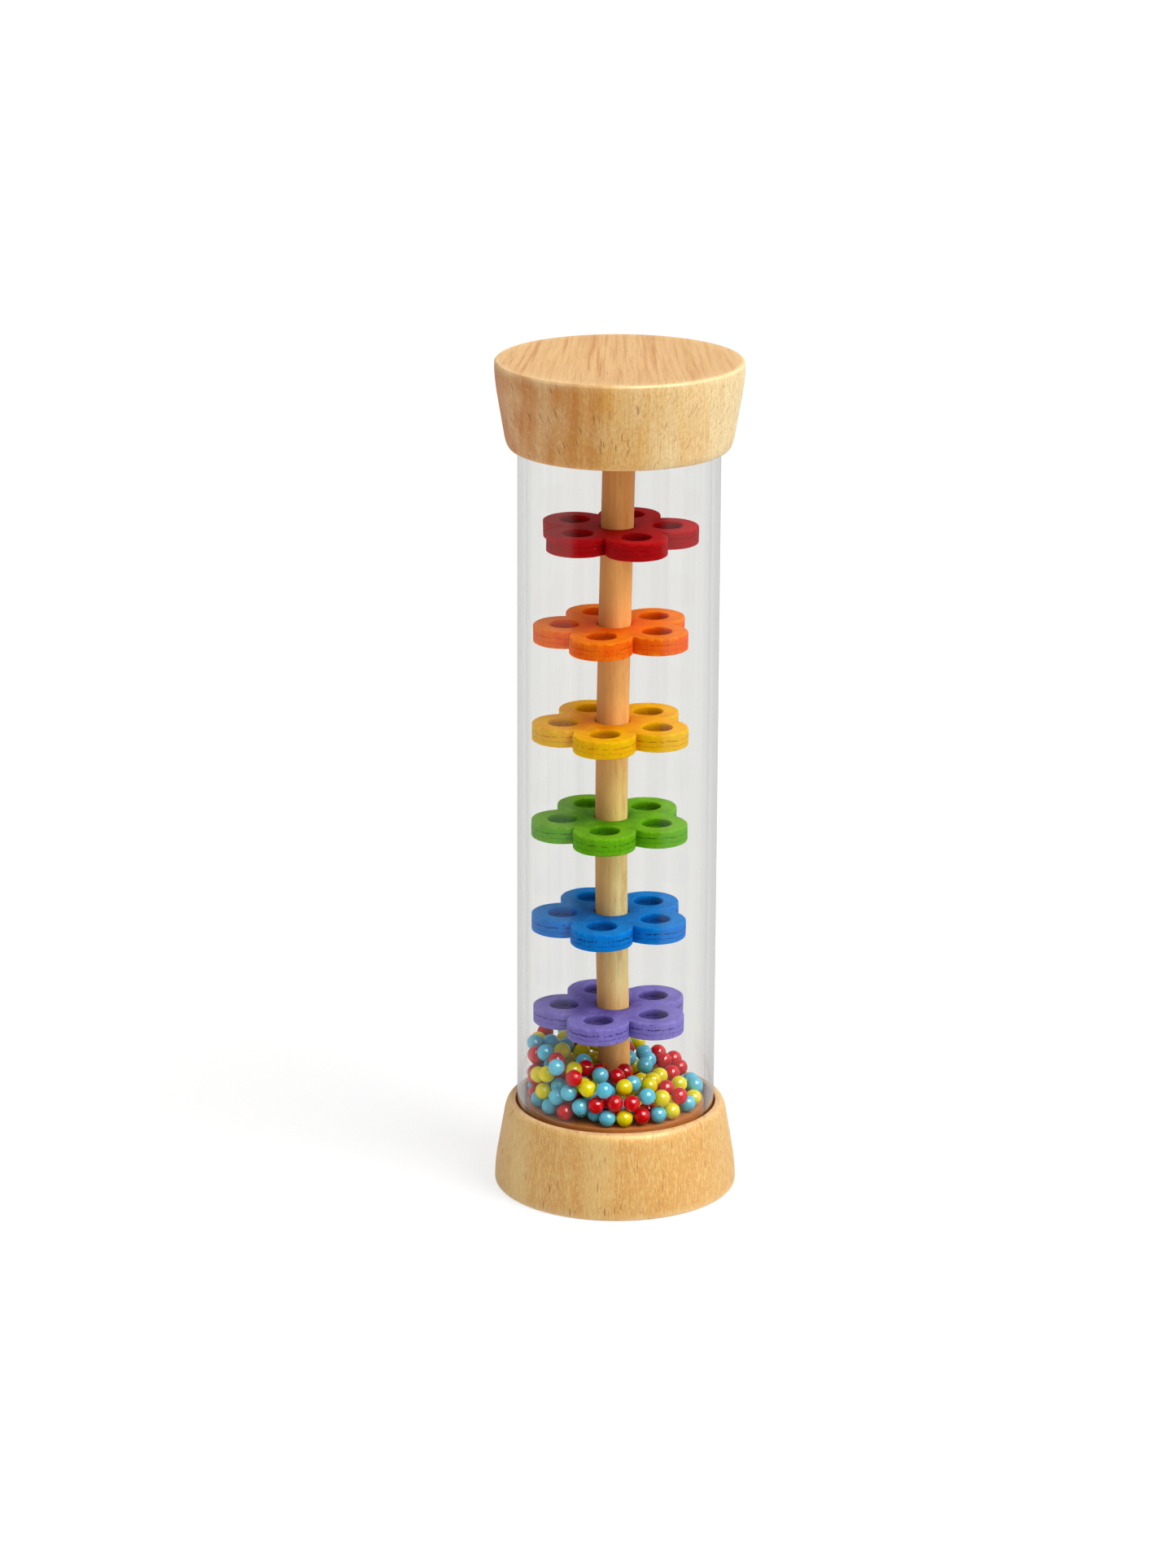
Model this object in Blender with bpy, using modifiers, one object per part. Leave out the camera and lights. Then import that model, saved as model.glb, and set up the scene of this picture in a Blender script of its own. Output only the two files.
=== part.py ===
"""Baby's rainstick: a clear tube between two turned beech caps, a dowel carrying six
flower-shaped baffle discs, and a charge of small loose beads.

Z is the tube's axis and points up, X is to the right and the front faces -Y.
The underside of the bottom cap is at Z = 0.
"""

import math

import bmesh
import bpy
from mathutils import Vector

MM = 0.001
GAP = 0.3  # clearance between pieces that touch, mm

# ---- overall ----
HEIGHT = 200.0

# ---- end caps (turned, the same profile at both ends) ----
CAP_H = 20.4
CAP_WIDE_R = 29.45  # side line carried on to the outer face
CAP_NARROW_R = 25.95  # side line carried on to the rim
CAP_BELLY_R = 28.75  # the side turns upright at this radius before the outer face
CAP_BELLY_Z = 8.0  # where it starts to turn
CAP_EDGE_ROUND = 0.8
CAP_RIM_Z = 17.3  # where the side starts to roll over into the rim
CAP_RIM_FLAT_R = 24.8  # the rim is flat out to this radius
FLOOR_Z = 20.2  # wooden floor inside the tube, all but level with the rim
GROOVE_Z = 12.0  # bottom of the groove that holds the tube
GROOVE_OUT_R = 23.8
GROOVE_IN_R = 21.1
SOCKET_Z = 10.0  # bottom of the blind hole for the dowel
CAP_STEPS = 60

# ---- clear tube ----
TUBE_R = 23.45
TUBE_WALL = 2.0
TUBE_END = GROOVE_Z + GAP
TUBE_STEPS = 72

# ---- dowel ----
ROD_R = 3.8
ROD_END = SOCKET_Z + GAP
BOW = 1.3  # the dowel stands bowed to the left by this much at half height
BOW_SKEW = 0.3  # more of the bow lies in the lower half
BOW_LOW, BOW_HIGH = 20.0, 180.0

# ---- flower discs ----
DISC_T = 4.15
DISC_PITCH = 23.38
DISC_TOP_Z = 160.9  # upper face of the highest disc
PETALS = 5
PETAL_R = 7.39
PETAL_AT = 11.63
PETAL_HOLE_R = 3.6
BORE_R = ROD_R + GAP
DISCS = (  # name, turn about the dowel in degrees, paint
    ("disc_red", 4.0, (0.46, 0.006, 0.016)),
    ("disc_orange", 38.7, (0.80, 0.16, 0.012)),
    ("disc_yellow", 44.9, (0.78, 0.42, 0.01)),
    ("disc_green", 46.0, (0.17, 0.42, 0.03)),
    ("disc_blue", 42.5, (0.012, 0.22, 0.60)),
    ("disc_purple", 36.3, (0.24, 0.20, 0.48)),
)

# ---- beads ----
BEAD_R = 2.0
HEAP_MID = 29.2  # height of the top beads' centres on the axis
HEAP_FALL = 0.26  # the heap falls this much per mm towards +X
BED_OVER = 1.2  # how far the heap's body reaches above those centres
BED_IN_R = 4.7
RED, YELLOW, BLUE = (0.62, 0.008, 0.02), (0.80, 0.62, 0.01), (0.10, 0.48, 0.68)
# Loose beads on top of the heap. The first five stand under the line of petal holes,
# the next five beside the tube wall between petals, and the rest under the lowest disc.
BEADS = (
    (YELLOW, 8.8, -5.9), (BLUE, -3.6, -11.4), (YELLOW, -12.7, -1.0), (YELLOW, -5.5, 10.5), (BLUE, 7.8, 7.7),
    (BLUE, 18.9, -1.5), (YELLOW, 5.2, 18.4), (RED, -16.9, 9.0), (BLUE, -13.9, -13.2), (BLUE, 7.5, -17.6),
    (RED, -13.9, -8.6), (RED, -7.1, -8.9), (RED, 0.3, -9.5), (RED, 12.0, -8.8), (RED, 15.1, -11.8),
    (RED, 10.2, 14.5), (RED, 11.5, 10.0), (RED, 15.3, 8.0), (RED, 13.4, 2.5), (RED, 2.6, 11.9),
    (YELLOW, -9.8, -12.2), (YELLOW, 2.1, -15.4), (YELLOW, 8.0, -10.1), (YELLOW, 10.5, -1.5), (YELLOW, 15.1, -3.7),
    (BLUE, 4.1, -11.6), (BLUE, 7.0, 2.9), (BLUE, 6.8, 11.8),
)


def clear_scene():
    for obj in list(bpy.data.objects):
        bpy.data.objects.remove(obj, do_unlink=True)


def collection(name, hidden=False):
    made = bpy.data.collections.new(name)
    bpy.context.scene.collection.children.link(made)
    made.hide_render = hidden
    return made


def material(name, colour, rough, metallic=0.0, alpha=1.0):
    mat = bpy.data.materials.new(name)
    mat.use_nodes = True
    shader = mat.node_tree.nodes["Principled BSDF"]
    shader.inputs["Base Color"].default_value = (*colour, 1.0)
    shader.inputs["Roughness"].default_value = rough
    shader.inputs["Metallic"].default_value = metallic
    shader.inputs["Alpha"].default_value = alpha
    mat.diffuse_color = (*colour, alpha)
    return mat


def add(name, mesh, where, mat=None, at=(0, 0, 0)):
    obj = bpy.data.objects.new(name, mesh)
    obj.location = Vector(at) * MM
    if mat:
        mesh.materials.clear()
        mesh.materials.append(mat)
    where.objects.link(obj)
    return obj


def smooth(mesh, degrees=35):
    mesh.shade_smooth()
    mesh.set_sharp_from_angle(angle=math.radians(degrees))


def polyline(name, points, closed):
    """A mesh of edges through (radius, height) pairs in mm, in the XZ plane."""
    mesh = bpy.data.meshes.new(name)
    ends = [(i, i + 1) for i in range(len(points) - 1)]
    if closed:
        ends.append((len(points) - 1, 0))
    mesh.from_pydata([(r * MM, 0, z * MM) for r, z in points], ends, [])
    return mesh


def turned(name, points, where, mat, steps, closed=False):
    obj = add(name, polyline(name, points, closed), where, mat)
    screw = obj.modifiers.new("turn", "SCREW")
    screw.axis = "Z"
    screw.steps = screw.render_steps = steps
    screw.use_merge_vertices = True
    screw.merge_threshold = 1e-5
    screw.use_smooth_shade = True
    return obj


def rounded(before, corner, after, radius, steps):
    """Points of an arc of this radius that rounds a corner between two straight lines."""
    corner = Vector(corner)
    to_a, to_b = (Vector(before) - corner).normalized(), (Vector(after) - corner).normalized()
    half = to_a.angle(to_b) / 2
    centre = corner + (to_a + to_b).normalized() * radius / math.sin(half)
    start = corner + to_a * radius / math.tan(half) - centre
    end = corner + to_b * radius / math.tan(half) - centre
    turn = start.angle_signed(end)
    first = math.atan2(start.y, start.x)
    return [
        (centre.x + radius * math.cos(first - turn * i / steps), centre.y + radius * math.sin(first - turn * i / steps))
        for i in range(steps + 1)
    ]


def side_at(z):
    return CAP_WIDE_R + (CAP_NARROW_R - CAP_WIDE_R) * z / CAP_H, z


def soft_corner(start, corner, end, steps):
    """Points of a parabola that leaves start towards corner and arrives at end from it."""
    return [
        tuple((1 - t) ** 2 * a + 2 * t * (1 - t) * c + t * t * b for a, c, b in zip(start, corner, end))
        for t in (i / steps for i in range(steps + 1))
    ]


def cap_profile():
    """Half section of the bottom cap, from its centre over the rim and down its outer side."""
    belly = (CAP_BELLY_R, (CAP_WIDE_R - CAP_BELLY_R) / (CAP_WIDE_R - CAP_NARROW_R) * CAP_H)
    points = [(0.0, SOCKET_Z), (BORE_R, SOCKET_Z), (BORE_R, FLOOR_Z), (GROOVE_IN_R, FLOOR_Z)]
    points += [(GROOVE_IN_R, GROOVE_Z), (GROOVE_OUT_R, GROOVE_Z), (GROOVE_OUT_R, CAP_H)]
    points += soft_corner((CAP_RIM_FLAT_R, CAP_H), (CAP_NARROW_R, CAP_H), side_at(CAP_RIM_Z), 4)
    points += soft_corner(side_at(CAP_BELLY_Z), belly, (CAP_BELLY_R, CAP_EDGE_ROUND), 3)
    points += rounded(belly, (CAP_BELLY_R, 0.0), (0.0, 0.0), CAP_EDGE_ROUND, 3)[1:]
    return points + [(0.0, 0.0)]


def bow_at(z):
    """How far the dowel's centre stands off the axis at this height."""
    share = min(max((z - BOW_LOW) / (BOW_HIGH - BOW_LOW), 0.0), 1.0)
    return -BOW * math.sin(math.pi * share) * (1 - BOW_SKEW * (2 * share - 1))


def as_mesh(curve_obj, where, mat):
    """The curve as a mesh object of the same name with its caps welded."""
    bpy.context.view_layer.update()
    evaluated = curve_obj.evaluated_get(bpy.context.evaluated_depsgraph_get())
    mesh = bpy.data.meshes.new_from_object(evaluated)
    bm = bmesh.new()
    bm.from_mesh(mesh)
    bmesh.ops.remove_doubles(bm, verts=bm.verts, dist=1e-6)
    bmesh.ops.recalc_face_normals(bm, faces=bm.faces)
    bm.to_mesh(mesh)
    bm.free()
    name, matrix = curve_obj.name, curve_obj.matrix_world.copy()
    bpy.data.objects.remove(curve_obj, do_unlink=True)
    made = add(name, mesh, where, mat)
    made.matrix_world = matrix
    smooth(mesh)
    return made


def dowel(where, mat):
    curve = bpy.data.curves.new("centre_rod", "CURVE")
    curve.dimensions = "3D"
    curve.bevel_depth = ROD_R * MM
    curve.bevel_resolution = 4
    curve.use_fill_caps = True
    heights = [ROD_END] + [FLOOR_Z + 10 * i * (HEIGHT - 2 * FLOOR_Z) / 160 for i in range(17)] + [HEIGHT - ROD_END]
    spline = curve.splines.new("POLY")
    spline.points.add(len(heights) - 1)
    for point, z in zip(spline.points, heights):
        point.co = (bow_at(z) * MM, 0, z * MM, 1)
    obj = bpy.data.objects.new("centre_rod", curve)
    where.objects.link(obj)
    return as_mesh(obj, where, mat)


def flower_outline(turn):
    """Outline of five overlapping round petals, as (x, y) in mm, anticlockwise."""
    half = math.pi / PETALS
    notch = PETAL_AT * math.cos(half) + math.sqrt(PETAL_R**2 - (PETAL_AT * math.sin(half)) ** 2)
    sweep = math.atan2(notch * math.sin(half), notch * math.cos(half) - PETAL_AT)
    points, steps = [], 16
    for petal in range(PETALS):
        out = turn + 2 * half * petal
        for i in range(steps):
            a = -sweep + 2 * sweep * i / steps
            x, y = PETAL_AT + PETAL_R * math.cos(a), PETAL_R * math.sin(a)
            points.append((x * math.cos(out) - y * math.sin(out), x * math.sin(out) + y * math.cos(out)))
    return points


def ring_of(radius, steps, cx=0.0, cy=0.0):
    return [
        (cx + radius * math.cos(2 * math.pi * i / steps), cy + radius * math.sin(2 * math.pi * i / steps))
        for i in range(steps)
    ]


def flower_disc(name, degrees, mid_z, where, mat):
    turn = math.radians(degrees)
    curve = bpy.data.curves.new(name, "CURVE")
    curve.dimensions = "2D"
    curve.fill_mode = "BOTH"
    curve.extrude = DISC_T / 2 * MM
    outlines = [flower_outline(turn), ring_of(BORE_R, 24)]
    for petal in range(PETALS):
        out = turn + 2 * math.pi * petal / PETALS
        outlines.append(ring_of(PETAL_HOLE_R, 20, PETAL_AT * math.cos(out), PETAL_AT * math.sin(out)))
    for outline in outlines:
        spline = curve.splines.new("POLY")
        spline.points.add(len(outline) - 1)
        for point, (x, y) in zip(spline.points, outline):
            point.co = (x * MM, y * MM, 0, 1)
        spline.use_cyclic_u = True
    obj = bpy.data.objects.new(name, curve)
    obj.location = Vector((bow_at(mid_z), 0, mid_z)) * MM
    where.objects.link(obj)
    return as_mesh(obj, where, mat)


def heap_z(x):
    return HEAP_MID - HEAP_FALL * x


def boolean(obj, cutter, name):
    cut = obj.modifiers.new(name, "BOOLEAN")
    cut.operation = "DIFFERENCE"
    cut.object = cutter
    cut.solver = "EXACT"


def helper(name, mesh, where, at=(0, 0, 0)):
    obj = add(name, mesh, where, None, at)
    obj.hide_render = True
    obj.display_type = "WIRE"
    return obj


def bead_bed(where, cutters, mat):
    """The rest of the charge as one ring-shaped heap with a slanting top and a pocket for each loose bead."""
    low, high = FLOOR_Z + GAP, 40.0
    out_r = TUBE_R - TUBE_WALL - GAP
    bed = turned(
        "bead_bed", [(BED_IN_R, high), (out_r, high), (out_r, low), (BED_IN_R, low)], where, mat, 48, closed=True
    )
    over = bmesh.new()
    bmesh.ops.create_cube(over, size=1.0)
    for v in over.verts:
        x = v.co.x * 60
        z = (HEAP_MID + BED_OVER - HEAP_FALL * x) if v.co.z < 0 else 60.0
        v.co = Vector((x, v.co.y * 60, z)) * MM
    mesh = bpy.data.meshes.new("heap_slope_cutter")
    over.to_mesh(mesh)
    over.free()
    boolean(bed, helper("heap_slope_cutter", mesh, cutters), "slope")
    pocket = bmesh.new()
    bmesh.ops.create_cone(
        pocket, cap_ends=True, segments=12, radius1=BEAD_R * MM * 0.55, radius2=(BEAD_R + GAP) * MM, depth=BEAD_R * MM
    )
    for v in pocket.verts:
        v.co.z -= BEAD_R / 2 * MM
    rim = [f for f in pocket.faces if len(f.verts) > 4 and f.normal.z > 0.5]
    rise = bmesh.ops.extrude_face_region(pocket, geom=rim)["geom"]
    bmesh.ops.delete(pocket, geom=rim, context="FACES_ONLY")
    for v in [g for g in rise if isinstance(g, bmesh.types.BMVert)]:
        v.co.z += 12 * MM
    for v in pocket.verts:
        if v.co.z < 0:
            v.co.z -= (GAP + 0.1) * MM
            v.co.x *= 1.35
            v.co.y *= 1.35
    bmesh.ops.recalc_face_normals(pocket, faces=pocket.faces)
    mesh = bpy.data.meshes.new("pocket_cutter")
    pocket.to_mesh(mesh)
    pocket.free()
    group = bpy.data.collections.new("pocket_cutters")
    cutters.children.link(group)
    for i, (_, x, y) in enumerate(BEADS):
        cutter = helper(f"pocket_cutter_{i + 1:02d}", mesh, group, (x, y, heap_z(x)))
        cutter.rotation_euler.z = 0.37 + 1.9 * i
    cut = bed.modifiers.new("pockets", "BOOLEAN")
    cut.operation = "DIFFERENCE"
    cut.operand_type = "COLLECTION"
    cut.collection = group
    cut.solver = "EXACT"
    return bed


def bead_mesh(name):
    bm = bmesh.new()
    bmesh.ops.create_uvsphere(bm, u_segments=12, v_segments=6, radius=BEAD_R * MM)
    mesh = bpy.data.meshes.new(name)
    bm.to_mesh(mesh)
    bm.free()
    mesh.shade_smooth()
    return mesh


def main():
    clear_scene()
    parts, cutters = collection("rainstick"), collection("cutters", hidden=True)
    beech = material("beech_varnished", (0.69, 0.42, 0.18), 0.42)
    beech_rod = material("beech_dowel", (0.72, 0.46, 0.23), 0.55)
    clear = material("clear_acrylic", (0.92, 0.93, 0.93), 0.05, alpha=0.15)
    bed_mat = material("mixed_beads", (0.35, 0.34, 0.30), 0.30)

    frame = bpy.data.objects.new("rainstick_frame", None)
    parts.objects.link(frame)

    profile = cap_profile()
    pieces = [
        turned("bottom_cap", profile, parts, beech, CAP_STEPS),
        turned("top_cap", [(r, HEIGHT - z) for r, z in reversed(profile)], parts, beech, CAP_STEPS),
    ]
    in_r, end = TUBE_R - TUBE_WALL, TUBE_END
    ring = [(TUBE_R, HEIGHT - end), (TUBE_R, end), (in_r, end), (in_r, HEIGHT - end)]
    pieces.append(turned("clear_tube", ring, parts, clear, TUBE_STEPS, closed=True))
    pieces.append(dowel(parts, beech_rod))
    for i, (name, degrees, paint) in enumerate(DISCS):
        mid_z = DISC_TOP_Z - DISC_PITCH * i - DISC_T / 2
        pieces.append(flower_disc(name, degrees, mid_z, parts, material(name + "_paint", paint, 0.55)))
    pieces.append(bead_bed(parts, cutters, bed_mat))

    looks = {
        paint: material("bead_" + word, paint, 0.12) for paint, word in ((RED, "red"), (YELLOW, "yellow"), (BLUE, "blue"))
    }
    for i, (paint, x, y) in enumerate(BEADS):
        name = f"bead_{i + 1:02d}"
        pieces.append(add(name, bead_mesh(name), parts, looks[paint], (x, y, heap_z(x))))
    for piece in pieces:
        piece.parent = frame


main()
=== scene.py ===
"""Looks of the baby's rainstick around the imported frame.

Lengths below are in mm and become metres through MM. Z is the tube's axis, the front faces -Y.
"""

import math

import bmesh
import bpy
import numpy as np
from mathutils import Euler, Matrix, Vector


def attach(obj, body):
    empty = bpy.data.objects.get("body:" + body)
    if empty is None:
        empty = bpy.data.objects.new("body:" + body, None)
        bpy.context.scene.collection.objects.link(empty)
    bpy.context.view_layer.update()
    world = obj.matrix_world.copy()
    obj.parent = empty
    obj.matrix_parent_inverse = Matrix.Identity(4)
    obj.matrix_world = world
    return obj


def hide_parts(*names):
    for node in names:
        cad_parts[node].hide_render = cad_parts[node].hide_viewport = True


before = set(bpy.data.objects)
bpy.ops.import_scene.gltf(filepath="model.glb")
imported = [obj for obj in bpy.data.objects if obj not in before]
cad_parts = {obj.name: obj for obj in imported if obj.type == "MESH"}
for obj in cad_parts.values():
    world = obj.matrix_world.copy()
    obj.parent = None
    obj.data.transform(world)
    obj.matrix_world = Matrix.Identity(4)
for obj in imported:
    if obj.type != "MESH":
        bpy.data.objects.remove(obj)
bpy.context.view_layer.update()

MM = 0.001

# ---- shared sizes, the same as the frame's ----
HEIGHT = 200.0
CAP_H = 20.4
CAP_WIDE_R = 29.45
CAP_NARROW_R = 25.95
CAP_BELLY_R = 28.75
CAP_BELLY_Z = 8.0
CAP_EDGE_ROUND = 0.8
CAP_RIM_Z = 17.3
CAP_RIM_FLAT_R = 24.8
FLOOR_Z = 20.2
GROOVE_Z = 12.0
GROOVE_OUT_R = 23.8
GROOVE_IN_R = 21.1
SOCKET_Z = 10.0
TUBE_R = 23.45
TUBE_WALL = 2.0
TUBE_END = 12.3
ROD_R = 3.8
ROD_END = 10.3
DISC_T = 4.15
DISC_PITCH = 23.38
DISC_TOP_Z = 160.9
PETALS = 5
PETAL_R = 7.39
PETAL_AT = 11.63
PETAL_HOLE_R = 3.6
BORE_R = 4.1
BEAD_R = 2.0


def bow_at(z):
    share = min(max((z - 20.0) / 160.0, 0.0), 1.0)
    return -1.3 * math.sin(math.pi * share) * (1 - 0.3 * (2 * share - 1))


def heap_z(x):
    return 29.2 - 0.26 * x


# =====================================================================
# node helpers
# =====================================================================
class Look:
    """A material under construction: every method adds a node and returns its output socket."""

    def __init__(self, name):
        self.mat = bpy.data.materials.new(name)
        self.mat.use_nodes = True
        self.tree = self.mat.node_tree
        self.tree.nodes.clear()
        self.out = self.tree.nodes.new("ShaderNodeOutputMaterial")

    def node(self, kind, inputs=None, **settings):
        n = self.tree.nodes.new(kind)
        for key, value in settings.items():
            setattr(n, key, value)
        for key, value in (inputs or {}).items():
            self.feed(n.inputs[key], value)
        return n

    def feed(self, socket, value):
        if isinstance(value, bpy.types.NodeSocket):
            self.tree.links.new(value, socket)
        elif isinstance(value, (tuple, list)) and socket.type == "RGBA" and len(value) == 3:
            socket.default_value = (*value, 1.0)
        else:
            socket.default_value = value

    def place(self):
        """Position on the piece in mm."""
        at = self.node("ShaderNodeTexCoord").outputs["Object"]
        return self.node("ShaderNodeVectorMath", {0: at, "Scale": 1000.0}, operation="SCALE").outputs[0]

    def facing_up(self):
        """How far the surface faces straight up or down, 0 to 1."""
        normal = self.node("ShaderNodeTexCoord").outputs["Normal"]
        z = self.node("ShaderNodeSeparateXYZ", {0: normal}).outputs["Z"]
        return self.maths("ABSOLUTE", z)

    def split(self, vector):
        n = self.node("ShaderNodeSeparateXYZ", {0: vector})
        return n.outputs["X"], n.outputs["Y"], n.outputs["Z"]

    def turn(self, vector, axis, degrees):
        return self.node(
            "ShaderNodeVectorRotate", {"Vector": vector, "Angle": math.radians(degrees)}, rotation_type=axis + "_AXIS"
        ).outputs[0]

    def stretch(self, vector, scale, shift=(0, 0, 0)):
        return self.node("ShaderNodeMapping", {"Vector": vector, "Scale": scale, "Location": shift}).outputs[0]

    def warp(self, vector, by, amount):
        """vector + (by - 0.5) * amount"""
        centred = self.node("ShaderNodeVectorMath", {0: by, 1: (0.5, 0.5, 0.5)}, operation="SUBTRACT").outputs[0]
        scaled = self.node("ShaderNodeVectorMath", {0: centred, 1: amount}, operation="MULTIPLY").outputs[0]
        return self.node("ShaderNodeVectorMath", {0: vector, 1: scaled}, operation="ADD").outputs[0]

    def noise(self, vector, scale=1.0, detail=2.0, rough=0.5, distort=0.0):
        return self.node(
            "ShaderNodeTexNoise",
            {"Vector": vector, "Scale": scale, "Detail": detail, "Roughness": rough, "Distortion": distort},
        ).outputs["Fac"]

    def noise_vector(self, vector, scale=1.0, detail=2.0):
        return self.node("ShaderNodeTexNoise", {"Vector": vector, "Scale": scale, "Detail": detail}).outputs["Color"]

    def cells(self, vector, scale=1.0, random=1.0):
        """(distance to the cell's point, a random number of the cell)"""
        n = self.node("ShaderNodeTexVoronoi", {"Vector": vector, "Scale": scale, "Randomness": random})
        value = self.node("ShaderNodeSeparateColor", {0: n.outputs["Color"]}).outputs[0]
        return n.outputs["Distance"], value

    def maths(self, operation, a, b=0.0, clamp=False):
        return self.node("ShaderNodeMath", {0: a, 1: b}, operation=operation, use_clamp=clamp).outputs[0]

    def remap(self, value, a, b, c=0.0, d=1.0, kind="SMOOTHSTEP"):
        return self.node(
            "ShaderNodeMapRange",
            {"Value": value, "From Min": a, "From Max": b, "To Min": c, "To Max": d},
            interpolation_type=kind,
        ).outputs[0]

    def ramp(self, value, stops):
        n = self.node("ShaderNodeValToRGB", {0: value})
        ramp = n.color_ramp
        while len(ramp.elements) > 1:
            ramp.elements.remove(ramp.elements[-1])
        for i, (at, colour) in enumerate(stops):
            e = ramp.elements[0] if i == 0 else ramp.elements.new(at)
            e.position = at
            e.color = (*colour, 1.0)
        return n.outputs[0]

    def blend(self, share, a, b, kind="MIX"):
        n = self.node("ShaderNodeMix", data_type="RGBA", blend_type=kind)
        self.feed(n.inputs[0], share)
        self.feed(n.inputs[6], a)
        self.feed(n.inputs[7], b)
        return n.outputs[2]

    def attribute(self, name):
        return self.node("ShaderNodeAttribute", attribute_name=name).outputs["Fac"]

    def bump(self, height, depth_mm, strength=1.0, normal=None):
        inputs = {"Height": height, "Distance": depth_mm * MM, "Strength": strength}
        if normal is not None:
            inputs["Normal"] = normal
        return self.node("ShaderNodeBump", inputs).outputs[0]

    def principled(self, **inputs):
        named = {key.replace("_", " "): value for key, value in inputs.items()}
        shader = self.node("ShaderNodeBsdfPrincipled", named)
        self.tree.links.new(shader.outputs[0], self.out.inputs["Surface"])
        return self.mat


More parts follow.
